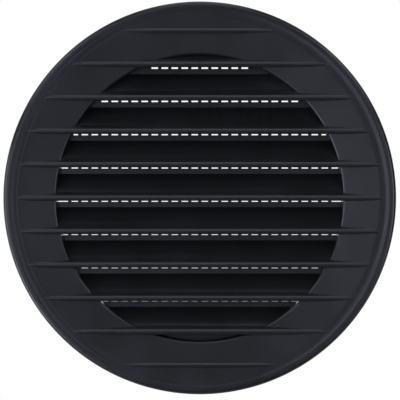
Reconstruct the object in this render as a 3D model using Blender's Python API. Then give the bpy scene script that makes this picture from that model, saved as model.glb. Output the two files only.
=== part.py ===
"""Round louvred vent grille, moulded in one piece of black plastic.

A face plate with a low rim carries level ridges. Across the opening each ridge is the rounded nose
of a sloping slat, and each slat ends in an upright strip whose top edge is a comb of bars against
insects. Behind the plate a collar pushes into a round duct.

Lengths are in metres. The face is upright in XZ and looks along -Y, the slats are level along X,
and the origin is the centre of the plane that lies on the wall.
"""

import math

import bmesh
import bpy

# Face plate
FACE_RADIUS = 0.0650
FACE_HEIGHT = 0.0040
PLATE_THICKNESS = 0.0020
SKIRT_WIDTH = 0.0020
SKIRT_DRAFT = 0.0003

# Rim round the face, and the plate's fall towards the opening, over a share of the plate's width
RIM_HEIGHT = 0.00033
RIM_RISE = 0.0019
RIM_SHOULDER = 0.0008
RIM_CREST = 0.0005
EDGE_ROUNDING = 0.0013
FALL_SHARE = 0.816327
FALL = 0.0004

# Collar that pushes into the duct, its bore widening to the front and to the back
BORE_RADIUS = 0.0472
BORE_FRONT_DRAFT = 0.00025
BORE_BACK_DRAFT = 0.0005
BORE_ROUNDING = 0.0008
COLLAR_WALL = 0.0020
COLLAR_LENGTH = 0.0150
COLLAR_TAPER = 0.0002
COLLAR_CHAMFER = 0.0008

# Crush ribs along the outside of the collar
RIB_COUNT = 8
RIB_WIDTH = 0.0014
RIB_HEIGHT = 0.0006
RIB_RUN_OUT = 0.0040

# Slats and the ridges that carry them on across the plate
SLAT_PITCH = 0.01106
NOSE_HEIGHT = 0.0020
RIDGE_HEIGHT = 0.0006
RIDGE_RUN_OUT = 0.0040
RIDGE_ON_RIM = 0.0010
RIDGE_BURIAL = 0.00005
BLADE_THICKNESS = 0.0022
BLADE_ANGLE = math.radians(50.0)
NOSE_STEPS = 6

# Strip at the top of each slat, and its comb of bars
SIGHT_GAP = 0.00028
STRIP_HEIGHT = 0.00177
STRIP_THICKNESS = 0.0009
STRIP_SEAT = 0.0001
FOOT_SHARE = 0.35
HEAD_SHARE = 0.65
BAR_PITCH = 0.00332
BAR_WIDTH = 0.0010
NARROWEST_SLOT = 0.0008
LOWEST_SLOT = 0.00065

# How finely the round forms are divided
ROUND_STEPS = 96
ARC_STEPS = 3
SMOOTH_ANGLE = math.radians(35.0)

# Depths behind the fronts of the ridges, the foremost plane of the face
WALL_DEPTH = FACE_HEIGHT
PLATE_FRONT = RIDGE_HEIGHT
PLATE_BACK = PLATE_FRONT + PLATE_THICKNESS
SHOULDER_HEIGHT = RIM_HEIGHT * RIM_SHOULDER / (RIM_RISE + RIM_SHOULDER)
NOSE_RADIUS = NOSE_HEIGHT / 2
NOSE_BACK = NOSE_RADIUS
BLADE_SLOPE = math.tan(BLADE_ANGLE)
BLADE_RISE = BLADE_THICKNESS / math.cos(BLADE_ANGLE)
STRIP_TOP = SLAT_PITCH - NOSE_RADIUS - SIGHT_GAP
STRIP_BOTTOM = STRIP_TOP - STRIP_HEIGHT
STRIP_FRONT = NOSE_BACK + (STRIP_BOTTOM - NOSE_RADIUS) / BLADE_SLOPE
STRIP_BACK = STRIP_FRONT + STRIP_THICKNESS
COLLAR_END = WALL_DEPTH + COLLAR_LENGTH

# Radii that several features share
RIM_FOOT = FACE_RADIUS - EDGE_ROUNDING - RIM_CREST - RIM_SHOULDER - RIM_RISE
RIDGE_REACH = RIM_FOOT + RIDGE_ON_RIM
BORE_FRONT_RADIUS = BORE_RADIUS + BORE_FRONT_DRAFT
OPENING_RADIUS = BORE_FRONT_RADIUS + BORE_ROUNDING
FALL_WIDTH = (RIM_FOOT - OPENING_RADIUS) * FALL_SHARE
BORE_BACK_RADIUS = BORE_RADIUS + BORE_BACK_DRAFT
COLLAR_RADIUS = BORE_RADIUS + COLLAR_WALL
TRIM_RADIUS = BORE_RADIUS + COLLAR_WALL / 2

MATERIAL_COLOUR = (0.018, 0.019, 0.022, 1.0)
MATERIAL_ROUGHNESS = 0.38


def clear_scene():
    """Remove whatever the open file holds."""
    for old in list(bpy.data.objects):
        bpy.data.objects.remove(old, do_unlink=True)


def black_plastic():
    """Dark satin plastic, the one material of the moulding."""
    material = bpy.data.materials.new("black_plastic")
    material.use_nodes = True
    shader = material.node_tree.nodes["Principled BSDF"]
    shader.inputs["Base Color"].default_value = MATERIAL_COLOUR
    shader.inputs["Roughness"].default_value = MATERIAL_ROUGHNESS
    shader.inputs["Metallic"].default_value = 0.0
    material.diffuse_color = MATERIAL_COLOUR
    return material


def to_y(depth):
    """Turn a depth behind the fronts of the ridges into the frame's Y."""
    return depth - WALL_DEPTH


def new_object(name, mesh_builder):
    """Link an object whose mesh the builder has finished."""
    bmesh.ops.remove_doubles(mesh_builder, verts=mesh_builder.verts, dist=1e-7)
    bmesh.ops.recalc_face_normals(mesh_builder, faces=mesh_builder.faces)
    mesh = bpy.data.meshes.new(name)
    mesh_builder.to_mesh(mesh)
    mesh_builder.free()
    mesh.shade_smooth()
    mesh.set_sharp_from_angle(angle=SMOOTH_ANGLE)
    made = bpy.data.objects.new(name, mesh)
    bpy.context.collection.objects.link(made)
    return made


def tool_object(name, mesh_builder):
    """Link a shape that only cuts or joins, and is left out of the finished part."""
    made = new_object(name, mesh_builder)
    made.hide_render = True
    made.display_type = "WIRE"
    return made


def combine(target, tool, operation):
    """Add a Boolean of another object to the target."""
    step = target.modifiers.new(tool.name, "BOOLEAN")
    step.object = tool
    step.operation = operation
    step.solver = "EXACT"


def arc(centre, radii, start, end, steps):
    """Points of a round or elliptic arc, with its angles in degrees."""
    points = []
    for index in range(steps + 1):
        angle = math.radians(start + (end - start) * index / steps)
        points.append((centre[0] + radii[0] * math.cos(angle), centre[1] + radii[1] * math.sin(angle)))
    return points


def turned(mesh_builder, profile, steps):
    """Turn a closed profile of (radius, depth) points about the Y axis."""
    rings = []
    for index in range(steps):
        angle = 2 * math.pi * index / steps
        rings.append(
            [
                mesh_builder.verts.new((radius * math.cos(angle), to_y(depth), radius * math.sin(angle)))
                for radius, depth in profile
            ]
        )
    for index in range(steps):
        here, there = rings[index], rings[(index + 1) % steps]
        for point in range(len(profile)):
            after = (point + 1) % len(profile)
            mesh_builder.faces.new((here[point], here[after], there[after], there[point]))


def lofted(mesh_builder, sections):
    """Close a bar through sections of vertices, all with the same number of corners."""
    mesh_builder.faces.new(sections[0])
    mesh_builder.faces.new(sections[-1])
    for near, far in zip(sections, sections[1:]):
        for point in range(len(near)):
            after = (point + 1) % len(near)
            mesh_builder.faces.new((near[point], near[after], far[after], far[point]))


def extruded(mesh_builder, outline, place, start, end):
    """Extrude a closed outline, with place(a, b, run) giving each corner's position."""
    near = [mesh_builder.verts.new(place(a, b, start)) for a, b in outline]
    far = [mesh_builder.verts.new(place(a, b, end)) for a, b in outline]
    lofted(mesh_builder, [near, far])


def plug(mesh_builder, radius, front, back):
    """A solid cylinder along Y between two depths."""
    angles = [2 * math.pi * index / ROUND_STEPS for index in range(ROUND_STEPS)]
    outline = [(radius * math.cos(angle), radius * math.sin(angle)) for angle in angles]
    extruded(mesh_builder, outline, lambda a, b, depth: (a, to_y(depth), b), front, back)


def bent(start, width, rise, starts_flat, steps):
    """Points of a shallow curve from a (radius, depth) start, flat at its start or else at its end."""
    points = []
    for index in range(steps + 1):
        share = index / steps
        height = share**2 if starts_flat else 1 - (1 - share) ** 2
        points.append((start[0] + width * share, start[1] - rise * height))
    return points


def rim_points():
    """The sweep from the plate up to the rim, and the shoulder where it rounds over to the crest."""
    sweep = bent((RIM_FOOT, PLATE_FRONT), RIM_RISE, RIM_HEIGHT - SHOULDER_HEIGHT, True, ARC_STEPS)
    return sweep + bent(sweep[-1], RIM_SHOULDER, SHOULDER_HEIGHT, False, ARC_STEPS - 1)[1:]


def face_and_collar_profile():
    """Section of the turned body, from the opening's edge round the rim and back through the collar."""
    edge_centre = (OPENING_RADIUS, PLATE_FRONT + FALL + BORE_ROUNDING)
    opening_edge = arc(edge_centre, (BORE_ROUNDING, BORE_ROUNDING), 180, 270, ARC_STEPS)
    fall = bent(opening_edge[-1], FALL_WIDTH, FALL, False, ARC_STEPS)
    outer_edge = arc(
        (FACE_RADIUS - EDGE_ROUNDING, PLATE_FRONT - RIM_HEIGHT + EDGE_ROUNDING),
        (EDGE_ROUNDING, EDGE_ROUNDING),
        -90,
        0,
        ARC_STEPS,
    )
    skirt_inside = FACE_RADIUS - SKIRT_WIDTH
    back = [
        (FACE_RADIUS, WALL_DEPTH),
        (skirt_inside, WALL_DEPTH),
        (skirt_inside - SKIRT_DRAFT, PLATE_BACK),
        (COLLAR_RADIUS, PLATE_BACK),
        (COLLAR_RADIUS - COLLAR_TAPER, COLLAR_END - COLLAR_CHAMFER),
        (COLLAR_RADIUS - COLLAR_TAPER - COLLAR_CHAMFER / 2, COLLAR_END),
        (BORE_BACK_RADIUS, COLLAR_END),
        (BORE_RADIUS, STRIP_BACK),
    ]
    return opening_edge + fall[1:] + rim_points() + outer_edge + back


def blade_top(depth):
    """Height of the blade's upper face above its nose's centre."""
    return NOSE_RADIUS + (depth - NOSE_BACK) * BLADE_SLOPE


def blade_underside(depth):
    """Height of the blade's lower face above its nose's centre."""
    return blade_top(depth) - BLADE_RISE


def slat_outline():
    """Section of a nose and its blade, as (depth, height above the nose's centre)."""
    nose = arc((NOSE_BACK, 0.0), (NOSE_RADIUS, NOSE_RADIUS), 90, 270, NOSE_STEPS)
    lip_back = NOSE_BACK + (BLADE_RISE - NOSE_HEIGHT) / BLADE_SLOPE
    end = STRIP_BACK - STRIP_SEAT
    return nose + [(lip_back, -NOSE_RADIUS), (end, blade_underside(end)), (end, blade_top(end))]


def half_width(radius, height):
    """Half the chord of a circle at a height."""
    return math.sqrt(max(radius**2 - height**2, 0.0))


def slat_heights():
    """Heights of the noses, one on the centre line and as many each way as the plate takes."""
    each_way = int(RIM_FOOT / SLAT_PITCH)
    return [index * SLAT_PITCH for index in range(-each_way, each_way + 1)]


def slat_stations(height):
    """Where along X a slat's section stands, and how deep it has sunk into the plate there."""
    begin = half_width(RIDGE_REACH - RIDGE_RUN_OUT, height)
    end = half_width(RIDGE_REACH, height)
    sink = RIDGE_HEIGHT + RIDGE_BURIAL
    return [(-end, sink), (-begin, 0.0), (begin, 0.0), (end, sink)]


def make_slats():
    """The bank of slats with their ridges, trimmed to the collar."""
    builder = bmesh.new()
    outline = slat_outline()
    for height in slat_heights():
        sections = [
            [builder.verts.new((run, to_y(depth + sink), height + rise)) for depth, rise in outline]
            for run, sink in slat_stations(height)
        ]
        lofted(builder, sections)
    slats = tool_object("slats", builder)

    builder = bmesh.new()
    middle = PLATE_BACK - PLATE_THICKNESS / 2
    ring = [
        (TRIM_RADIUS, middle),
        (2 * FACE_RADIUS, middle),
        (2 * FACE_RADIUS, COLLAR_END),
        (TRIM_RADIUS, COLLAR_END),
    ]
    turned(builder, ring, ROUND_STEPS)
    combine(slats, tool_object("collar_trim", builder), "DIFFERENCE")
    return slats


def comb_reach(height):
    """How far each way a row's slots go before the collar's wall closes them."""
    return min(half_width(BORE_RADIUS, height), half_width(BORE_RADIUS, height + LOWEST_SLOT))


def comb_slots(height):
    """The open slots of one row, as pairs of X. A bar that would touch the wall is left out."""
    reach = comb_reach(height)
    slots = []
    near = BAR_WIDTH / 2
    while near < reach:
        next_bar = near + BAR_PITCH - BAR_WIDTH
        far = next_bar if next_bar + BAR_WIDTH < reach else reach
        if far - near > NARROWEST_SLOT:
            slots.append((near, far))
        near += BAR_PITCH
    return [(-far, -near) for near, far in reversed(slots)] + slots


def comb_outline(height):
    """Front view of one comb: a row of bars standing on the strip, as (x, height) corners.

    Its foot ends inside its own blade and the heads of its bars inside the blade above. They keep
    apart there, so that neighbouring combs never overlap.
    """
    slots = comb_slots(height + STRIP_TOP)
    buried = STRIP_BOTTOM - blade_underside(STRIP_BACK)
    foot = height + STRIP_BOTTOM - buried * FOOT_SHARE
    notch = height + STRIP_TOP
    head = height + SLAT_PITCH + STRIP_BOTTOM - buried * HEAD_SHARE
    edge = FACE_RADIUS
    corners = [(-edge, foot), (edge, foot), (edge, head)]
    for left, right in reversed(slots):
        corners += [(right, head), (right, notch), (left, notch), (left, head)]
    corners.append((-edge, head))
    return corners


def make_combs():
    """The comb of every row that opens into the collar."""
    builder = bmesh.new()
    for height in slat_heights():
        slot_height = height + STRIP_TOP
        if half_width(BORE_RADIUS, slot_height) < BAR_PITCH:
            continue
        extruded(
            builder,
            comb_outline(height),
            lambda across, rise, depth: (across, to_y(depth), rise),
            STRIP_FRONT,
            STRIP_BACK,
        )
    combs = tool_object("combs", builder)

    builder = bmesh.new()
    plug(builder, TRIM_RADIUS, 0.0, COLLAR_END)
    combine(combs, tool_object("comb_trim", builder), "INTERSECT")
    return combs


def make_ribs():
    """Crush ribs along the collar, running out to nothing at its open end."""
    builder = bmesh.new()
    outside = COLLAR_RADIUS + RIB_HEIGHT
    buried = PLATE_BACK - PLATE_THICKNESS / 2
    outline = [
        (TRIM_RADIUS, buried),
        (outside, buried),
        (outside, COLLAR_END - RIB_RUN_OUT - COLLAR_CHAMFER),
        (TRIM_RADIUS, COLLAR_END - COLLAR_CHAMFER),
    ]
    for index in range(RIB_COUNT):
        angle = 2 * math.pi * (index + 0.5) / RIB_COUNT
        extruded(
            builder,
            outline,
            lambda radius, depth, side, turn=angle: (
                radius * math.cos(turn) - side * math.sin(turn),
                to_y(depth),
                radius * math.sin(turn) + side * math.cos(turn),
            ),
            -RIB_WIDTH / 2,
            RIB_WIDTH / 2,
        )
    return tool_object("ribs", builder)


def make_grille():
    """The whole moulding as one solid."""
    builder = bmesh.new()
    turned(builder, face_and_collar_profile(), ROUND_STEPS)
    grille = new_object("vent_grille", builder)
    grille.data.materials.append(black_plastic())
    for tool in (make_slats(), make_combs(), make_ribs()):
        combine(grille, tool, "UNION")
    return grille


clear_scene()
make_grille()
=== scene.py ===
"""Round louvred vent grille in black plastic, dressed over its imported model.

Run as a script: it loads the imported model, makes each part of the moulding with its finish, and
sets the stage. The face is upright in XZ and looks along -Y, the slats are level along X, and the
origin is the centre of the plane that lies on the wall. Lengths are in metres.
"""

import math

import bmesh
import bpy
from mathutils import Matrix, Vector


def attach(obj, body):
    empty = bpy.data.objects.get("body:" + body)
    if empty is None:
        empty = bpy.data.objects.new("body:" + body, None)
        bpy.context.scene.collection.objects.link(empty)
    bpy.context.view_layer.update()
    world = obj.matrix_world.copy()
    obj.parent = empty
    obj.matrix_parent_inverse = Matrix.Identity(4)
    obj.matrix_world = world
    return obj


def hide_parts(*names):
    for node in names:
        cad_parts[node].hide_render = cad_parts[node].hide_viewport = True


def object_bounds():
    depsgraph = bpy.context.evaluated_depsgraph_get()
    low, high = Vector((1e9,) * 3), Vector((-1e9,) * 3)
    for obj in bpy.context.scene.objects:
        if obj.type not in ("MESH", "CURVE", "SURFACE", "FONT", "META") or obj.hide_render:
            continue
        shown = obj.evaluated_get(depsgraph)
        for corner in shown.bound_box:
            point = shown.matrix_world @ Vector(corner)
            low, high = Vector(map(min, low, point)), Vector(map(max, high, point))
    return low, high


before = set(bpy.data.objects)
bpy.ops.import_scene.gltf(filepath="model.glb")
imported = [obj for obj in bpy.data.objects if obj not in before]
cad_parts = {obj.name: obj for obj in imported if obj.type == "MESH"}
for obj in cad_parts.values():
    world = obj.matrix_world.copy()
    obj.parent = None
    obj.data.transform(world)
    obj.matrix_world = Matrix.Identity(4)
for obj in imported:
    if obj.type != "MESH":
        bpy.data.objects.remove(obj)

bl_info = {
    "name": "Round Vent Grille",
    "version": (1, 0, 0),
    "blender": (4, 5, 0),
    "location": "View3D > Sidebar > Vent Grille",
    "description": "Makes a round louvred vent grille of black plastic and its studio stage",
    "category": "Object",
}

NODE = "vent_grille"
FINISH = "satin_black_plastic"
CAD_LOW, CAD_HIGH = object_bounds()

FACE_STEPS = 288
ARC_STEPS = 10
NOSE_STEPS = 20
RUN_OUT_STEPS = 8
# Where the nose's rounding leaves the blade's upper side, in degrees from the back, and how far
# behind the nose's centre the two meet, in nose radii
NOSE_START = 128.0
NOSE_ROOT = 0.8
# How far in front of the strip's back a blade ends
BLADE_INSET = 0.0001
# Width of a strip before it is trimmed to the collar, in trim radii
STRIP_SPAN = 2.2
SMOOTH_ANGLE = math.radians(32.0)
MERGE_DISTANCE = 1e-7

PLASTIC_IOR = 1.5
PAINT_COLOUR = (0.8, 0.8, 0.8, 1.0)
PAINT_ROUGHNESS = 0.9
WHITE = (1.0, 1.0, 1.0, 1.0)

STAGE_HALF_WIDTH = 4.0
SENSOR_WIDTH = 36.0
CLIP_START, CLIP_END = 0.01, 50.0
MILLIMETRES = 1000


def length(name, description, default):
    """A size that a user may change, shown as a length."""
    return bpy.props.FloatProperty(
        name=name, description=description, default=default, min=0.0, precision=5,
        unit="LENGTH", subtype="DISTANCE",
    )


class GRILLE_PG_face(bpy.types.PropertyGroup):
    """Sizes of the face plate, its rim and the collar."""

    radius: length("Face radius", "Outer radius of the face plate", CAD_HIGH.x)
    height: length("Face height", "From the wall to the fronts of the ridges", -CAD_LOW.y)
    plate: length("Plate thickness", "Thickness of the face plate by the rim", 0.0023)
    skirt: length("Skirt width", "Width of the edge that lies on the wall", 0.0020)
    skirt_draft: length("Skirt draft", "How far the skirt's inner side leans", 0.0003)
    rim_height: length("Rim height", "How far the rim's crest stands above the plate", 0.00025)
    rim_rise: length("Rim rise", "Width over which the plate sweeps up to the rim", 0.0019)
    rim_shoulder: length("Rim shoulder", "Width over which the sweep rounds over to the crest", 0.0008)
    rim_crest: length("Rim crest", "Width of the flat crest", 0.0005)
    edge_rounding: length("Edge rounding", "Rounding of the face's outer edge", 0.0013)
    dish: bpy.props.FloatProperty(
        name="Dish", description="Slope of the plate towards the opening", default=math.radians(5.0),
        unit="ROTATION", subtype="ANGLE",
    )
    dish_bend: length("Dish bend", "Width over which the slope comes out level at the rim", 0.0012)
    bore: length("Bore radius", "Radius of the opening at its narrowest", 0.0472)
    bore_front: length("Front draft", "How far the bore widens towards the face", 0.00025)
    bore_back: length("Back draft", "How far the bore widens towards its open end", 0.0005)
    bore_rounding: length("Opening rounding", "Rounding of the opening's front edge", 0.0008)
    wall: length("Collar wall", "Thickness of the collar", 0.0020)
    taper: length("Collar taper", "How far the collar narrows towards its end", 0.0002)
    chamfer: length("Collar chamfer", "Lead-in on the collar's open end", 0.0008)


class GRILLE_PG_louvre(bpy.types.PropertyGroup):
    """Sizes of the slats, the comb and the crush ribs."""

    slats: bpy.props.IntProperty(
        name="Slats", description="Number of ridges, the middle one on the centre line", default=11, min=1,
    )
    pitch: length("Slat pitch", "Height from one slat to the next", 0.01106)
    nose: length("Nose height", "Height of a slat's rounded front", 0.0020)
    ridge: length("Ridge height", "How far the ridges stand out of the plate by the rim", 0.0003)
    on_rim: length("Ridge on rim", "How far the ridges run up the sweep of the rim", 0.0010)
    run_out: length("Ridge run-out", "Width of the ring in which the ridges sink into the plate", 0.0040)
    run_out_sink: length("Ridge sink", "How deep a ridge's end sinks", 0.0003)
    blade: length("Blade thickness", "Thickness of a slat's sloping blade", 0.0022)
    angle: bpy.props.FloatProperty(
        name="Blade angle", description="Rise of the blades above level", default=math.radians(50.0),
        unit="ROTATION", subtype="ANGLE",
    )
    sight_gap: length("Sight gap", "Light seen under each nose from straight in front", 0.00028)
    strip: length("Strip height", "Height of the upright strip at a slat's top", 0.00177)
    strip_thickness: length("Strip thickness", "Thickness of the strip and its comb", 0.0009)
    bar_pitch: length("Bar pitch", "From one comb bar to the next", 0.00333)
    bar: length("Bar width", "Width of a comb bar", 0.00115)
    narrowest: length("Narrowest slot", "A narrower slot beside the wall is closed", 0.0012)
    lowest: length("Lowest slot", "A lower slot beside the wall is closed", 0.00065)
    shortest: length("Shortest row", "A row of slots with less than this each way is closed", 0.0150)
    bar_inset: length("Bar inset", "How far the bars stand back from the strip's faces", 0.00004)
    ribs: bpy.props.IntProperty(name="Crush ribs", description="Ribs around the collar", default=8, min=0)
    rib_width: length("Rib width", "Width of a crush rib", 0.0014)
    rib_height: length("Rib height", "How far a crush rib stands out", 0.0006)
    rib_run_out: length("Rib run-out", "Length over which a rib runs out", 0.0040)


class GRILLE_PG_finish(bpy.types.PropertyGroup):
    """Colour and surface of the black plastic."""

    colour: bpy.props.FloatVectorProperty(
        name="Colour", description="Base colour of the plastic", size=3, min=0.0, max=1.0,
        default=(0.0064, 0.0067, 0.0078), subtype="COLOR",
    )
    mottle: bpy.props.FloatVectorProperty(
        name="Mottle colour", description="Slightly paler tone where the melt flowed", size=3,
        min=0.0, max=1.0, default=(0.0086, 0.0090, 0.0104), subtype="COLOR",
    )
    sheen: bpy.props.FloatVectorProperty(
        name="Sheen colour", description="Cool tint of the light that the surface throws back", size=3,
        min=0.0, max=1.0, default=(0.77, 0.82, 1.0), subtype="COLOR",
    )
    rough_low: bpy.props.FloatProperty(
        name="Smoothest", description="Roughness where the surface is smoothest", default=0.21,
        min=0.0, max=1.0, subtype="FACTOR",
    )
    rough_high: bpy.props.FloatProperty(
        name="Roughest", description="Roughness where the surface is roughest", default=0.26,
        min=0.0, max=1.0, subtype="FACTOR",
    )
    grain: length("Grain size", "Size of the fine grain in the surface", 0.00035)
    grain_depth: length("Grain depth", "Depth of the fine grain", 0.0000035)
    flow: length("Flow size", "Size of the soft clouding in the surface", 0.015)
    flow_depth: length("Flow depth", "Depth of the slow waves in the surface", 0.00012)


class GRILLE_PG_stage(bpy.types.PropertyGroup):
    """Camera, lights and floor."""

    distance: length("Camera distance", "From the rim's crest to the camera", 0.9)
    lens: bpy.props.FloatProperty(
        name="Lens", description="Focal length", default=0.24515, unit="CAMERA",
    )
    shift_x: bpy.props.FloatProperty(
        name="Shift X", description="Sideways shift of the view", default=0.0006,
    )
    shift_y: bpy.props.FloatProperty(
        name="Shift Y", description="Upward shift of the view", default=-0.0053,
    )
    floor_drop: length("Floor drop", "From the grille's centre down to the floor", 1.2)
    floor_front: length("Floor front", "From the wall plane forward to the floor's edge", 0.4)
    backdrop: length("Backdrop distance", "From the wall plane back to the white backdrop", 2.6)
    lamp_distance: length("Lamp distance", "From the grille's centre to each softbox", 2.5)
    brightness: bpy.props.FloatProperty(
        name="Brightness", description="Common factor on every softbox", default=1.0, min=0.0,
    )
    room: bpy.props.FloatVectorProperty(
        name="Room light", description="Light that comes from all round", size=3, min=0.0, max=1.0,
        default=(0.02, 0.02, 0.0225), subtype="COLOR",
    )


# Plain mesh work

def arc(centre, radii, start, end, steps):
    """Points of a round or elliptic arc, with its angles in degrees."""
    points = []
    for index in range(steps + 1):
        angle = math.radians(start + (end - start) * index / steps)
        points.append((centre[0] + radii[0] * math.cos(angle), centre[1] + radii[1] * math.sin(angle)))
    return points


def bent(start, width, level, rise, starts_flat):
    """Points of a shallow curve that changes level by a rise, flat at its start or else at its end."""
    points = []
    for index in range(ARC_STEPS + 1):
        share = index / ARC_STEPS
        height = share**2 if starts_flat else 1 - (1 - share)**2
        points.append((start + width * share, level + rise * height))
    return points


def finished_mesh(name, builder):
    """A mesh of what the builder holds, with its faces turned outwards."""
    bmesh.ops.remove_doubles(builder, verts=builder.verts, dist=MERGE_DISTANCE)
    bmesh.ops.recalc_face_normals(builder, faces=builder.faces)
    mesh = bpy.data.meshes.new(name)
    builder.to_mesh(mesh)
    builder.free()
    return mesh


def linked(name, mesh):
    """An object of the mesh, in the scene."""
    made = bpy.data.objects.new(name, mesh)
    bpy.context.scene.collection.objects.link(made)
    return made


def extruded(outline, place, start, end):
    """A closed outline drawn out between two runs, with place(a, b, run) giving each corner."""
    builder = bmesh.new()
    near = [builder.verts.new(place(a, b, start)) for a, b in outline]
    far = [builder.verts.new(place(a, b, end)) for a, b in outline]
    builder.faces.new(near)
    builder.faces.new(far)
    for point in range(len(outline)):
        after = (point + 1) % len(outline)
        builder.faces.new((near[point], near[after], far[after], far[point]))
    return builder


def lofted(sections):
    """A closed bar through sections of the same number of corners."""
    builder = bmesh.new()
    rings = [[builder.verts.new(corner) for corner in section] for section in sections]
    builder.faces.new(rings[0])
    builder.faces.new(rings[-1])
    for here, there in zip(rings, rings[1:]):
        for point in range(len(here)):
            after = (point + 1) % len(here)
            builder.faces.new((here[point], here[after], there[after], there[point]))
    return builder


def turned(profile, steps):
    """A closed profile of (radius, y) points turned about the Y axis."""
    builder = bmesh.new()
    rings = []
    for index in range(steps):
        angle = 2 * math.pi * index / steps
        rings.append([builder.verts.new((r * math.cos(angle), y, r * math.sin(angle))) for r, y in profile])
    for index in range(steps):
        here, there = rings[index], rings[(index + 1) % steps]
        for point in range(len(profile)):
            after = (point + 1) % len(profile)
            builder.faces.new((here[point], here[after], there[after], there[point]))
    return builder


def dress(made):
    """Smooth the piece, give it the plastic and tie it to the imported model."""
    made.data.shade_smooth()
    made.data.set_sharp_from_angle(angle=SMOOTH_ANGLE)
    if not made.data.materials:
        made.data.materials.append(plastic())
    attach(made, "root")
    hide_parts(NODE)


# Shapes that follow from the sizes

class Depths:
    """Places along Y and heights that the slats, the comb and the plate share."""

    def __init__(self):
        face, louvre = bpy.context.scene.grille_face, bpy.context.scene.grille_louvre
        self.plate_front = louvre.ridge - face.height
        self.rim_front = self.plate_front - face.rim_height
        self.plate_back = self.plate_front + face.plate
        self.collar_end = CAD_HIGH.y
        self.nose_radius = louvre.nose / 2
        self.nose_back = self.nose_radius - face.height
        self.slope = math.tan(louvre.angle)
        self.blade_rise = louvre.blade / math.cos(louvre.angle)
        self.strip_top = louvre.pitch - self.nose_radius - louvre.sight_gap
        self.strip_bottom = self.strip_top - louvre.strip
        self.strip_front = self.nose_back + (self.strip_bottom - self.nose_radius) / self.slope
        self.strip_back = self.strip_front + louvre.strip_thickness
        self.rim_foot = (
            face.radius - face.edge_rounding - face.rim_crest - face.rim_shoulder - face.rim_rise
        )
        self.trim_radius = face.bore + face.wall / 2

    def blade_top(self, y):
        """Height of the blade's upper face above its nose's centre."""
        return self.nose_radius + (y - self.nose_back) * self.slope

    def blade_underside(self, y):
        """Height of the blade's lower face above its nose's centre."""
        return self.blade_top(y) - self.blade_rise


def face_profile():
    """Section of the plate, rim, skirt and collar, from the opening's edge and round the back."""
    face, at = bpy.context.scene.grille_face, Depths()
    rounding = face.bore_rounding
    opening = face.bore + face.bore_front + rounding
    slope = math.tan(face.dish)
    bend_start = at.rim_foot - face.dish_bend
    bend_fall = slope * face.dish_bend / 2
    fall = slope * (bend_start - opening) + bend_fall
    edge_centre = (opening, at.plate_front + fall + rounding)
    points = arc(edge_centre, (rounding, rounding), 180, 270, ARC_STEPS)
    points += bent(bend_start, face.dish_bend, at.plate_front + bend_fall, -bend_fall, False)
    shoulder_height = face.rim_height * face.rim_shoulder / (face.rim_rise + face.rim_shoulder)
    rise_height = face.rim_height - shoulder_height
    points += bent(at.rim_foot, face.rim_rise, at.plate_front, -rise_height, True)
    shoulder_foot = at.rim_foot + face.rim_rise
    shoulder_level = at.plate_front - rise_height
    points += bent(shoulder_foot, face.rim_shoulder, shoulder_level, -shoulder_height, False)[1:]
    edge = face.edge_rounding
    points += arc((face.radius - edge, at.rim_front + edge), (edge, edge), -90, 0, ARC_STEPS)
    skirt_inside = face.radius - face.skirt
    outside = face.bore + face.wall
    points += [
        (face.radius, 0.0),
        (skirt_inside, 0.0),
        (skirt_inside - face.skirt_draft, at.plate_back),
        (outside, at.plate_back),
        (outside - face.taper, at.collar_end - face.chamfer),
        (outside - face.taper - face.chamfer / 2, at.collar_end),
        (face.bore + face.bore_back, at.collar_end),
        (face.bore, at.strip_back),
    ]
    return points


def slat_section():
    """Section of a nose and its blade, as (y, height above the nose's centre)."""
    at = Depths()
    nose = arc((at.nose_back, 0.0), (at.nose_radius, at.nose_radius), NOSE_START, 270, NOSE_STEPS)
    lip_back = at.nose_back + (at.blade_rise - 2 * at.nose_radius) / at.slope
    end = at.strip_back - BLADE_INSET
    root = at.nose_back + NOSE_ROOT * at.nose_radius
    return nose + [
        (lip_back, -at.nose_radius),
        (end, at.blade_underside(end)),
        (end, at.blade_top(end)),
        (root, at.blade_top(root)),
    ]


# Geometry Nodes

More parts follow.
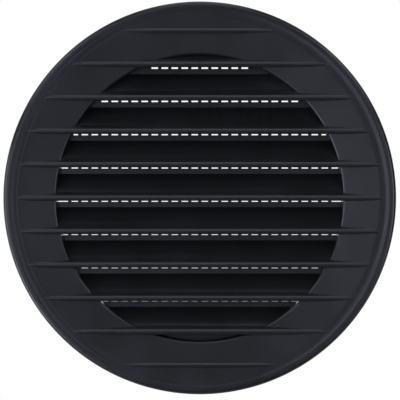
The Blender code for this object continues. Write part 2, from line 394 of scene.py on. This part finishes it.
class Tree:
    """One Geometry Nodes tree: its named inputs, its nodes and their links."""

    def __init__(self, name):
        self.tree = bpy.data.node_groups.new(name, "GeometryNodeTree")
        self.tree.interface.new_socket("Geometry", in_out="INPUT", socket_type="NodeSocketGeometry")
        self.tree.interface.new_socket("Geometry", in_out="OUTPUT", socket_type="NodeSocketGeometry")
        self.start = self.tree.nodes.new("NodeGroupInput")
        self.end = self.tree.nodes.new("NodeGroupOutput")
        self.values = {}

    @property
    def shape(self):
        """What the modifier's own object holds."""
        return self.start.outputs["Geometry"]

    def size(self, name, value, kind="NodeSocketFloat"):
        """A named input, and the value that the modifier gets for it."""
        socket = self.tree.interface.new_socket(name, in_out="INPUT", socket_type=kind)
        self.values[socket.identifier] = value
        return self.start.outputs[name]

    def add(self, kind, settings=None, **inputs):
        """A node with its settings and inputs, named by their sockets with _ for a space."""
        node = self.tree.nodes.new(kind)
        for name, value in (settings or {}).items():
            setattr(node, name, value)
        for name, value in inputs.items():
            self.feed(node.inputs[name.replace("_", " ")], value)
        return node

    def feed(self, socket, value):
        """Link a socket, or set it to a plain value."""
        if isinstance(value, bpy.types.NodeSocket):
            self.tree.links.new(value, socket)
        else:
            socket.default_value = value

    def math(self, operation, first, second=0.0):
        """One step of arithmetic."""
        node = self.tree.nodes.new("ShaderNodeMath")
        node.operation = operation
        self.feed(node.inputs[0], first)
        self.feed(node.inputs[1], second)
        return node.outputs[0]

    def vector(self, x=0.0, y=0.0, z=0.0):
        """A vector of three values."""
        return self.add("ShaderNodeCombineXYZ", X=x, Y=y, Z=z).outputs[0]

    def position(self):
        """X, Y and Z of each point."""
        place = self.add("GeometryNodeInputPosition").outputs[0]
        split = self.add("ShaderNodeSeparateXYZ", Vector=place)
        return split.outputs["X"], split.outputs["Y"], split.outputs["Z"]

    def half_chord(self, radius, height):
        """Half the width of a circle at a height."""
        inside = self.math("SUBTRACT", self.math("POWER", radius, 2.0), self.math("POWER", height, 2.0))
        return self.math("SQRT", self.math("MAXIMUM", inside, 0.0))

    def plug(self, radius, front, back):
        """A cylinder along Y."""
        depth = self.math("SUBTRACT", back, front)
        middle = self.math("MULTIPLY", self.math("ADD", front, back), 0.5)
        drum = self.add("GeometryNodeMeshCylinder", Vertices=FACE_STEPS, Radius=radius, Depth=depth)
        return self.add(
            "GeometryNodeTransform", Geometry=drum.outputs["Mesh"],
            Translation=self.vector(y=middle), Rotation=(math.pi / 2, 0.0, 0.0),
        ).outputs[0]

    def row(self, count, step):
        """Points one above another, centred on the axis."""
        span = self.math("MULTIPLY", self.math("SUBTRACT", count, 1.0), step)
        first = self.math("MULTIPLY", span, -0.5)
        return self.add(
            "GeometryNodeMeshLine", Count=count, Start_Location=self.vector(z=first),
            Offset=self.vector(z=step),
        ).outputs[0]

    def common(self, *shapes):
        """What closed shapes have in common."""
        node = self.add("GeometryNodeMeshBoolean", {"operation": "INTERSECT", "solver": "MANIFOLD"})
        for shape in shapes:
            self.tree.links.new(shape, node.inputs[1])
        return node.outputs[0]

    def less(self, shape, cut):
        """A closed shape with another cut out of it."""
        node = self.add("GeometryNodeMeshBoolean", {"operation": "DIFFERENCE", "solver": "MANIFOLD"})
        self.tree.links.new(shape, node.inputs[0])
        self.tree.links.new(cut, node.inputs[1])
        return node.outputs[0]

    def without(self, points, test):
        """The points for which a test is not met."""
        return self.add(
            "GeometryNodeDeleteGeometry", {"domain": "POINT"}, Geometry=points, Selection=test,
        ).outputs[0]

    def join(self, *shapes):
        """Shapes side by side in one geometry."""
        node = self.add("GeometryNodeJoinGeometry")
        for shape in shapes:
            self.tree.links.new(shape, node.inputs[0])
        return node.outputs[0]

    def realized(self, shape):
        """Instances turned into mesh."""
        return self.add("GeometryNodeRealizeInstances", Geometry=shape).outputs[0]

    def finish(self, shape):
        """End the tree with plain mesh in the plastic."""
        material = self.size("Material", plastic(), "NodeSocketMaterial")
        done = self.add("GeometryNodeSetMaterial", Geometry=self.realized(shape), Material=material)
        self.tree.links.new(done.outputs[0], self.end.inputs[0])


def grown(name, seed_mesh, tree):
    """Run a tree on a seed mesh and keep the outcome as one plain mesh."""
    seed = linked(name + "_seed", seed_mesh)
    step = seed.modifiers.new("Grow", "NODES")
    step.node_group = tree.tree
    for identifier, value in tree.values.items():
        step[identifier] = value
    seed.update_tag()
    evaluated = seed.evaluated_get(bpy.context.evaluated_depsgraph_get())
    mesh = bpy.data.meshes.new_from_object(evaluated)
    mesh.name = name
    seed.modifiers.remove(step)
    bpy.data.objects.remove(seed)
    if not mesh.polygons:
        raise RuntimeError(f"{name} came out empty")
    builder = bmesh.new()
    builder.from_mesh(mesh)
    bmesh.ops.remove_doubles(builder, verts=builder.verts, dist=MERGE_DISTANCE)
    builder.to_mesh(mesh)
    builder.free()
    return linked(name, mesh)


def slat_tree():
    """Slats and ridges on their pitch, each as long as the plate is wide at its height."""
    louvre, at = bpy.context.scene.grille_louvre, Depths()
    tree = Tree("Slat bank")
    count = tree.size("Slats", louvre.slats, "NodeSocketInt")
    pitch = tree.size("Pitch", louvre.pitch)
    reach = tree.size("Ridge reach", at.rim_foot + louvre.on_rim)
    run_out = tree.size("Ridge run-out", louvre.run_out)
    sink = tree.size("Ridge sink", louvre.run_out_sink)
    wall = tree.size("Collar mid-wall radius", at.trim_radius)
    middle = tree.size("Plate middle", (at.plate_front + at.plate_back) / 2)
    front = tree.size("In front of all", CAD_LOW.y * 2)
    back = tree.size("Behind all", CAD_HIGH.y)
    bank = tree.add("GeometryNodeInstanceOnPoints", Points=tree.row(count, pitch), Instance=tree.shape)
    _, _, height = tree.position()
    noted = tree.add(
        "GeometryNodeStoreNamedAttribute", {"data_type": "FLOAT", "domain": "INSTANCE"},
        Geometry=bank.outputs[0], Name="row", Value=height,
    )
    whole = tree.realized(noted.outputs[0])
    row = tree.add("GeometryNodeInputNamedAttribute", {"data_type": "FLOAT"}, Name="row").outputs[0]
    x, y, z = tree.position()
    share = tree.math("ABSOLUTE", x)
    outer = tree.math("MAXIMUM", tree.math("SUBTRACT", tree.math("MULTIPLY", share, 2.0), 1.0), 0.0)
    inner = tree.math("MINIMUM", tree.math("MULTIPLY", share, 2.0), 1.0)
    begin = tree.half_chord(tree.math("SUBTRACT", reach, run_out), row)
    further = tree.math("SUBTRACT", tree.half_chord(reach, row), begin)
    along = tree.math("ADD", tree.math("MULTIPLY", begin, inner), tree.math("MULTIPLY", further, outer))
    sunk = tree.math("MULTIPLY", outer, sink)
    placed = tree.vector(tree.math("MULTIPLY", along, tree.math("SIGN", x)), tree.math("ADD", y, sunk), z)
    fitted = tree.add("GeometryNodeSetPosition", Geometry=whole, Position=placed).outputs[0]
    outside = tree.less(
        tree.plug(tree.math("MULTIPLY", reach, 2.0), middle, back),
        tree.plug(wall, front, tree.math("MULTIPLY", back, 2.0)),
    )
    tree.finish(tree.less(fitted, outside))
    return tree


def comb_tree():
    """Strips at the slats' tops with their bars, and blocks where slots would be too small."""
    face, louvre, at = bpy.context.scene.grille_face, bpy.context.scene.grille_louvre, Depths()
    tree = Tree("Insect comb")
    count = tree.size("Slats", louvre.slats, "NodeSocketInt")
    pitch = tree.size("Pitch", louvre.pitch)
    step = tree.size("Bar pitch", louvre.bar_pitch)
    bar = tree.size("Bar width", louvre.bar)
    bore = tree.size("Bore radius", face.bore)
    wall = tree.size("Collar mid-wall radius", at.trim_radius)
    narrowest = tree.size("Narrowest slot", louvre.narrowest)
    lowest = tree.size("Lowest slot", louvre.lowest)
    shortest = tree.size("Shortest row", louvre.shortest)
    top = tree.size("Strip top", at.strip_top)
    buried = at.strip_bottom - at.blade_underside(at.strip_back)
    foot = tree.size("Strip foot", at.strip_bottom - buried / 3)
    head = tree.size("Bar head", louvre.pitch + at.strip_bottom - buried * 2 / 3)
    front = tree.size("Front", at.strip_front)
    back = tree.size("Back", at.strip_back)
    inset = tree.size("Bar inset", louvre.bar_inset)

    def box(points, across, low, high, near, far, selection=True):
        """A box on each point, placed by its own size."""
        cube = tree.add("GeometryNodeMeshCube", Size=(1.0, 1.0, 1.0)).outputs["Mesh"]
        middle = tree.vector(
            0.0, tree.math("MULTIPLY", tree.math("ADD", near, far), 0.5),
            tree.math("MULTIPLY", tree.math("ADD", low, high), 0.5),
        )
        moved = tree.add("GeometryNodeSetPosition", Geometry=points, Offset=middle).outputs[0]
        size = tree.vector(across, tree.math("SUBTRACT", far, near), tree.math("SUBTRACT", high, low))
        made = tree.add(
            "GeometryNodeInstanceOnPoints", Points=moved, Selection=selection, Instance=cube, Scale=size,
        )
        return tree.realized(made.outputs[0])

    def reach(row_height):
        """Where the wall closes a row's slots, from the height of the row's nose."""
        sill = tree.math("ADD", row_height, top)
        return tree.math(
            "MINIMUM", tree.half_chord(bore, sill), tree.half_chord(bore, tree.math("ADD", sill, lowest)),
        )

    def row_ends(row_height):
        """Where a row's last slot ends and its last bar stands, both below nought in a closed row."""
        limit = reach(row_height)
        half_bar = tree.math("MULTIPLY", bar, 0.5)
        whole = tree.math("FLOOR", tree.math("DIVIDE", tree.math("SUBTRACT", limit, half_bar), step))
        last_bar = tree.math("MULTIPLY", whole, step)
        left_over = tree.math("SUBTRACT", limit, tree.math("ADD", last_bar, half_bar))
        open_end = tree.math("GREATER_THAN", left_over, narrowest)
        closed_at = tree.math("SUBTRACT", last_bar, half_bar)
        gap = tree.math("MULTIPLY", open_end, tree.math("SUBTRACT", limit, closed_at))
        end = tree.math("ADD", closed_at, gap)
        left_out = tree.math("MULTIPLY", tree.math("SUBTRACT", 1.0, open_end), step)
        farthest = tree.math("SUBTRACT", last_bar, left_out)
        open_row = tree.math("GREATER_THAN", limit, shortest)
        closed_row = tree.math("SUBTRACT", 1.0, open_row)
        whole_row = tree.math("MULTIPLY", closed_row, tree.math("MULTIPLY", wall, 0.5))
        no_bar = tree.math("MULTIPLY", closed_row, step)
        return (
            tree.math("SUBTRACT", tree.math("MULTIPLY", end, open_row), whole_row),
            tree.math("SUBTRACT", tree.math("MULTIPLY", farthest, open_row), no_bar),
        )

    _, _, z = tree.position()
    short = tree.half_chord(bore, tree.math("ADD", z, top))
    rows = tree.without(tree.row(count, pitch), tree.math("LESS_THAN", short, step))
    wide = tree.math("MULTIPLY", wall, STRIP_SPAN)
    strips = box(rows, wide, foot, top, front, back)
    in_front = tree.math("ADD", front, inset)
    behind = tree.math("SUBTRACT", back, inset)
    below = tree.math("SUBTRACT", top, tree.math("MULTIPLY", tree.math("SUBTRACT", top, foot), 0.5))

    bars_each_way = int(face.bore / louvre.bar_pitch)
    across_line = tree.add(
        "GeometryNodeMeshLine", Count=2 * bars_each_way + 1,
        Start_Location=tree.vector(x=tree.math("MULTIPLY", step, -float(bars_each_way))),
        Offset=tree.vector(x=step),
    ).outputs[0]
    grid = tree.add("GeometryNodeInstanceOnPoints", Points=rows, Instance=across_line)
    grid = tree.realized(grid.outputs[0])
    x, _, z = tree.position()
    _, farthest = row_ends(z)
    beyond = tree.math("SUBTRACT", tree.math("ABSOLUTE", x), tree.math("MULTIPLY", step, 0.5))
    placed = tree.without(grid, tree.math("GREATER_THAN", beyond, farthest))
    bars = box(placed, bar, below, head, in_front, behind)

    _, _, z = tree.position()
    end, _ = row_ends(z)
    blocks = []
    open_rows = tree.without(rows, tree.math("LESS_THAN", end, 0.0))
    middle = tree.math("ADD", end, tree.math("MULTIPLY", wall, 0.5))
    for side, points in ((1.0, rows), (-1.0, open_rows)):
        sideways = tree.vector(x=tree.math("MULTIPLY", middle, side))
        moved = tree.add("GeometryNodeSetPosition", Geometry=points, Offset=sideways).outputs[0]
        blocks.append(box(moved, wall, below, head, in_front, behind))

    inside = tree.plug(wall, CAD_LOW.y * 2, CAD_HIGH.y * 2)
    trimmed = [tree.common(shape, inside) for shape in (strips, tree.join(bars, *blocks))]
    tree.finish(tree.join(*trimmed))
    return tree


def rib_tree():
    """Crush ribs round the collar."""
    louvre = bpy.context.scene.grille_louvre
    tree = Tree("Crush ribs")
    count = tree.size("Ribs", louvre.ribs, "NodeSocketInt")
    points = tree.add("GeometryNodeMeshLine", Count=count, Offset=(0.0, 0.0, 0.0)).outputs[0]
    index = tree.add("GeometryNodeInputIndex").outputs[0]
    share = tree.math("DIVIDE", tree.math("ADD", index, 0.5), count)
    turn = tree.vector(y=tree.math("MULTIPLY", share, 2 * math.pi))
    ribs = tree.add("GeometryNodeInstanceOnPoints", Points=points, Instance=tree.shape, Rotation=turn)
    tree.finish(ribs.outputs[0])
    return tree


# Finish

def shader_value(tree, kind, settings=None, **inputs):
    """A shader node with its settings and inputs."""
    node = tree.nodes.new(kind)
    for name, value in (settings or {}).items():
        setattr(node, name, value)
    for name, value in inputs.items():
        socket = node.inputs[name.replace("_", " ")]
        if isinstance(value, bpy.types.NodeSocket):
            tree.links.new(value, socket)
        else:
            socket.default_value = value
    return node


def moulded_surface():
    """Node group: fine grain on slow waves as a height, and soft clouding as a mask."""
    name = "Moulded surface"
    if name in bpy.data.node_groups:
        return bpy.data.node_groups[name]
    tree = bpy.data.node_groups.new(name, "ShaderNodeTree")
    for label in ("Grain size", "Grain depth", "Flow size", "Flow depth"):
        tree.interface.new_socket(label, in_out="INPUT", socket_type="NodeSocketFloat")
    for label in ("Height", "Clouding"):
        tree.interface.new_socket(label, in_out="OUTPUT", socket_type="NodeSocketFloat")
    start, end = tree.nodes.new("NodeGroupInput"), tree.nodes.new("NodeGroupOutput")
    place = shader_value(tree, "ShaderNodeTexCoord").outputs["Object"]

    def fineness(label):
        """One over a size, as the textures' scale."""
        node = shader_value(tree, "ShaderNodeMath", {"operation": "DIVIDE"})
        node.inputs[0].default_value = 1.0
        tree.links.new(start.outputs[label], node.inputs[1])
        return node.outputs[0]

    def noise(size, detail, roughness):
        """A noise over the piece, with features of a size."""
        return shader_value(
            tree, "ShaderNodeTexNoise", Vector=place, Scale=fineness(size),
            Detail=detail, Roughness=roughness,
        ).outputs["Fac"]

    slow = shader_value(tree, "ShaderNodeMath", {"operation": "MULTIPLY"})
    tree.links.new(noise("Flow size", 1.0, 0.5), slow.inputs[0])
    tree.links.new(start.outputs["Flow depth"], slow.inputs[1])
    height = shader_value(tree, "ShaderNodeMath", {"operation": "MULTIPLY_ADD"})
    tree.links.new(noise("Grain size", 2.0, 0.5), height.inputs[0])
    tree.links.new(start.outputs["Grain depth"], height.inputs[1])
    tree.links.new(slow.outputs[0], height.inputs[2])
    spread = shader_value(
        tree, "ShaderNodeMapRange", Value=noise("Flow size", 4.0, 0.55), From_Min=0.3, From_Max=0.7,
    )
    tree.links.new(height.outputs[0], end.inputs["Height"])
    tree.links.new(spread.outputs["Result"], end.inputs["Clouding"])
    return tree


def plastic():
    """Satin black plastic with a fine grain and a soft clouding."""
    if FINISH in bpy.data.materials:
        return bpy.data.materials[FINISH]
    finish = bpy.context.scene.grille_finish
    material = bpy.data.materials.new(FINISH)
    material.use_nodes = True
    tree = material.node_tree
    shader = tree.nodes["Principled BSDF"]
    surface = shader_value(
        tree, "ShaderNodeGroup", {"node_tree": moulded_surface()},
        Grain_size=finish.grain, Grain_depth=finish.grain_depth, Flow_size=finish.flow,
        Flow_depth=finish.flow_depth,
    )
    colour = shader_value(tree, "ShaderNodeMix", {"data_type": "RGBA"})
    tree.links.new(surface.outputs["Clouding"], colour.inputs[0])
    colour.inputs[6].default_value = (*finish.colour, 1.0)
    colour.inputs[7].default_value = (*finish.mottle, 1.0)
    rough = shader_value(
        tree, "ShaderNodeMapRange", Value=surface.outputs["Clouding"],
        To_Min=finish.rough_low, To_Max=finish.rough_high,
    )
    bump = shader_value(
        tree, "ShaderNodeBump", Strength=1.0, Distance=1.0, Height=surface.outputs["Height"],
    )
    tree.links.new(colour.outputs[2], shader.inputs["Base Color"])
    tree.links.new(rough.outputs["Result"], shader.inputs["Roughness"])
    tree.links.new(bump.outputs["Normal"], shader.inputs["Normal"])
    shader.inputs["IOR"].default_value = PLASTIC_IOR
    shader.inputs["Specular Tint"].default_value = (*finish.sheen, 1.0)
    return material


# Stage

def matt_surface(name):
    """Plain pale matt paint."""
    material = bpy.data.materials.new(name)
    material.use_nodes = True
    shader = material.node_tree.nodes["Principled BSDF"]
    shader.inputs["Base Color"].default_value = PAINT_COLOUR
    shader.inputs["Roughness"].default_value = PAINT_ROUGHNESS
    return material


def white_surface(name):
    """Plain pale matt paint that camera, mirror and see-through rays find white."""
    material = matt_surface(name)
    tree = material.node_tree
    glow = shader_value(tree, "ShaderNodeEmission", Color=WHITE, Strength=1.0)
    rays = tree.nodes.new("ShaderNodeLightPath")
    seen = rays.outputs["Is Camera Ray"]
    for kind in ("Is Glossy Ray", "Is Transmission Ray"):
        either = shader_value(tree, "ShaderNodeMath", {"operation": "MAXIMUM"})
        tree.links.new(seen, either.inputs[0])
        tree.links.new(rays.outputs[kind], either.inputs[1])
        seen = either.outputs[0]
    mix = tree.nodes.new("ShaderNodeMixShader")
    tree.links.new(seen, mix.inputs[0])
    tree.links.new(tree.nodes["Principled BSDF"].outputs[0], mix.inputs[1])
    tree.links.new(glow.outputs[0], mix.inputs[2])
    tree.links.new(mix.outputs[0], tree.nodes["Material Output"].inputs["Surface"])
    return material


def card(name, corners, material):
    """One flat piece of the stage."""
    builder = bmesh.new()
    builder.faces.new([builder.verts.new(corner) for corner in corners])
    made = linked(name, finished_mesh(name, builder))
    made.data.materials.append(material)


# Softboxes: name, azimuth and elevation of the middle, half its angular size, and how bright it
# is, where 1 is as bright as the white backdrop. Azimuth 0 is the camera's side, and 90 the right.
SOFTBOXES = (
    ("Left strip, top", -12, 12, 3, 5.44),
    ("Left strip, upper", -12, 6, 3, 0.55),
    ("Left strip, middle", -12, 0, 3, 4.96),
    ("Left strip, lower", -12, -6, 3, 0.95),
    ("Left strip, bottom", -12, -12, 3, 4.24),
    ("Near left", -6, 0, 3, 1.05),
    ("Near lower left", -6, -6, 3, 0.42),
    ("Near bottom left", -6, -12, 3, 0.88),
    ("Near right", 6, 0, 3, 0.87),
    ("Near bottom right", 6, -12, 3, 0.54),
    ("Right strip, top", 12, 12, 3, 2.65),
    ("Right strip, upper", 12, 6, 3, 1.45),
    ("Right strip, middle", 12, 0, 3, 2.11),
    ("Right strip, bottom", 12, -12, 3, 2.97),
    ("Above camera", 0, 20, 4, 2.81),
    ("Left", -42, 0, 12, 2.89),
    ("Right", 42, 0, 12, 3.34),
    ("Upper", 0, 42, 12, 1.35),
    ("Upper left", -38, 33, 12, 2.8),
    ("Upper right", 38, 33, 12, 2.61),
    ("Far left", -72, 0, 12, 4.0),
    ("Lower left", -38, -33, 12, 2.2),
    ("Lower right", 38, -33, 12, 0.4),
    ("Lower", 0, -42, 12, 0.25),
    ("Far lower left", -65, -25, 12, 6.0),
    ("Far lower right", 65, -25, 12, 1.2),
    ("Far upper left", -80, 40, 12, 2.0),
    ("Far upper right", 80, 40, 12, 1.5),
    ("High", 0, 66, 12, 0.89),
    ("Overhead", 0, 90, 12, 2.38),
)


def softbox(name, azimuth, elevation, half_angle, level):
    """A square lamp that faces the grille."""
    stage = bpy.context.scene.grille_stage
    lamp = bpy.data.lights.new(name, "AREA")
    lamp.size = 2 * stage.lamp_distance * math.tan(math.radians(half_angle))
    lamp.energy = math.pi * lamp.size**2 * level * stage.brightness
    made = linked(name, lamp)
    across, up = math.radians(azimuth), math.radians(elevation)
    out = Vector((math.sin(across) * math.cos(up), -math.cos(across) * math.cos(up), math.sin(up)))
    made.location = out * stage.lamp_distance
    made.rotation_euler = (-out).to_track_quat("-Z", "Y").to_euler()
    made.visible_camera = False


# Operators

class GRILLE_OT_make_face(bpy.types.Operator):
    """Make the dished face plate with its rim, skirt and collar"""

    bl_idname = "grille.make_face"
    bl_label = "Make Face and Collar"

    def execute(self, context):
        builder = turned(face_profile(), FACE_STEPS)
        dress(linked("face_and_collar", finished_mesh("face_and_collar", builder)))
        return {"FINISHED"}


class GRILLE_OT_make_slats(bpy.types.Operator):
    """Make the slats and the ridges that carry them on across the plate"""

    bl_idname = "grille.make_slats"
    bl_label = "Make Slats"

    def execute(self, context):
        stations = [0.5 + 0.5 * index / RUN_OUT_STEPS for index in range(RUN_OUT_STEPS + 1)]
        stations = [-share for share in reversed(stations)] + stations
        sections = [[(share, y, rise) for y, rise in slat_section()] for share in stations]
        dress(grown("slats", finished_mesh("slat", lofted(sections)), slat_tree()))
        return {"FINISHED"}


class GRILLE_OT_make_comb(bpy.types.Operator):
    """Make the strips and the comb of bars against insects"""

    bl_idname = "grille.make_comb"
    bl_label = "Make Insect Comb"

    def execute(self, context):
        dress(grown("insect_comb", bpy.data.meshes.new("comb_seed"), comb_tree()))
        return {"FINISHED"}


class GRILLE_OT_make_ribs(bpy.types.Operator):
    """Make the crush ribs round the collar"""

    bl_idname = "grille.make_ribs"
    bl_label = "Make Crush Ribs"

    def execute(self, context):
        face, louvre, at = context.scene.grille_face, context.scene.grille_louvre, Depths()
        outside = face.bore + face.wall + louvre.rib_height
        buried = (at.plate_front + at.plate_back) / 2
        outline = [
            (at.trim_radius, buried),
            (outside, buried),
            (outside, at.collar_end - louvre.rib_run_out - face.chamfer),
            (at.trim_radius, at.collar_end - face.chamfer),
        ]
        half = louvre.rib_width / 2
        builder = extruded(outline, lambda radius, y, side: (radius, y, side), -half, half)
        dress(grown("crush_ribs", finished_mesh("rib", builder), rib_tree()))
        return {"FINISHED"}


class GRILLE_OT_set_stage(bpy.types.Operator):
    """Set the camera, the softboxes, the floor and the white backdrop"""

    bl_idname = "grille.set_stage"
    bl_label = "Set Stage"

    def execute(self, context):
        stage = context.scene.grille_stage

        camera = bpy.data.cameras.new("Camera")
        camera.lens = stage.lens * MILLIMETRES
        camera.sensor_width = SENSOR_WIDTH
        camera.shift_x, camera.shift_y = stage.shift_x, stage.shift_y
        camera.clip_start, camera.clip_end = CLIP_START, CLIP_END
        view = linked("Camera", camera)
        view.location = (0.0, CAD_LOW.y - stage.distance, 0.0)
        view.rotation_euler = (math.pi / 2, 0.0, 0.0)
        context.scene.camera = view

        half, low, back = STAGE_HALF_WIDTH, -stage.floor_drop, stage.backdrop
        front = -stage.floor_front
        card(
            "floor", ((-half, front, low), (half, front, low), (half, back, low), (-half, back, low)),
            matt_surface("pale_floor"),
        )
        card(
            "backdrop", ((-half, back, low), (half, back, low), (half, back, half), (-half, back, half)),
            white_surface("white_backdrop"),
        )

        for values in SOFTBOXES:
            softbox(*values)

        world = bpy.data.worlds.new("Studio")
        context.scene.world = world
        world.use_nodes = True
        tree = world.node_tree
        background = tree.nodes["Background"]
        rays = tree.nodes.new("ShaderNodeLightPath")
        mix = shader_value(tree, "ShaderNodeMix", {"data_type": "RGBA"})
        tree.links.new(rays.outputs["Is Camera Ray"], mix.inputs[0])
        mix.inputs[6].default_value = (*stage.room, 1.0)
        mix.inputs[7].default_value = WHITE
        tree.links.new(mix.outputs[2], background.inputs["Color"])
        background.inputs["Strength"].default_value = 1.0
        context.scene.view_settings.view_transform = "Standard"
        return {"FINISHED"}


class GRILLE_PT_parts(bpy.types.Panel):
    """Lists the grille's pieces and their sizes"""

    bl_idname = "GRILLE_PT_parts"
    bl_label = "Vent Grille"
    bl_space_type = "VIEW_3D"
    bl_region_type = "UI"
    bl_category = "Vent Grille"

    def draw(self, context):
        for operator in OPERATORS:
            self.layout.operator(operator.bl_idname)
        for group in GROUPS:
            box = self.layout.box()
            box.label(text=group.capitalize())
            values = getattr(context.scene, "grille_" + group)
            for name in values.bl_rna.properties.keys():
                if name not in ("rna_type", "name"):
                    box.prop(values, name)


OPERATORS = (
    GRILLE_OT_make_face,
    GRILLE_OT_make_slats,
    GRILLE_OT_make_comb,
    GRILLE_OT_make_ribs,
    GRILLE_OT_set_stage,
)
GROUPS = {
    "face": GRILLE_PG_face,
    "louvre": GRILLE_PG_louvre,
    "finish": GRILLE_PG_finish,
    "stage": GRILLE_PG_stage,
}


def register():
    """Make the classes and the scene's settings known."""
    for group in GROUPS.values():
        bpy.utils.register_class(group)
    for operator in OPERATORS:
        bpy.utils.register_class(operator)
    bpy.utils.register_class(GRILLE_PT_parts)
    for name, group in GROUPS.items():
        setattr(bpy.types.Scene, "grille_" + name, bpy.props.PointerProperty(type=group))


def unregister():
    """Take the settings and the classes away again."""
    for name in GROUPS:
        delattr(bpy.types.Scene, "grille_" + name)
    bpy.utils.unregister_class(GRILLE_PT_parts)
    for operator in reversed(OPERATORS):
        bpy.utils.unregister_class(operator)
    for group in reversed(list(GROUPS.values())):
        bpy.utils.unregister_class(group)


def main():
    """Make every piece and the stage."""
    register()
    bpy.ops.grille.make_face()
    bpy.ops.grille.make_slats()
    bpy.ops.grille.make_comb()
    bpy.ops.grille.make_ribs()
    bpy.ops.grille.set_stage()
    bpy.context.view_layer.update()


if __name__ == "__main__":
    main()
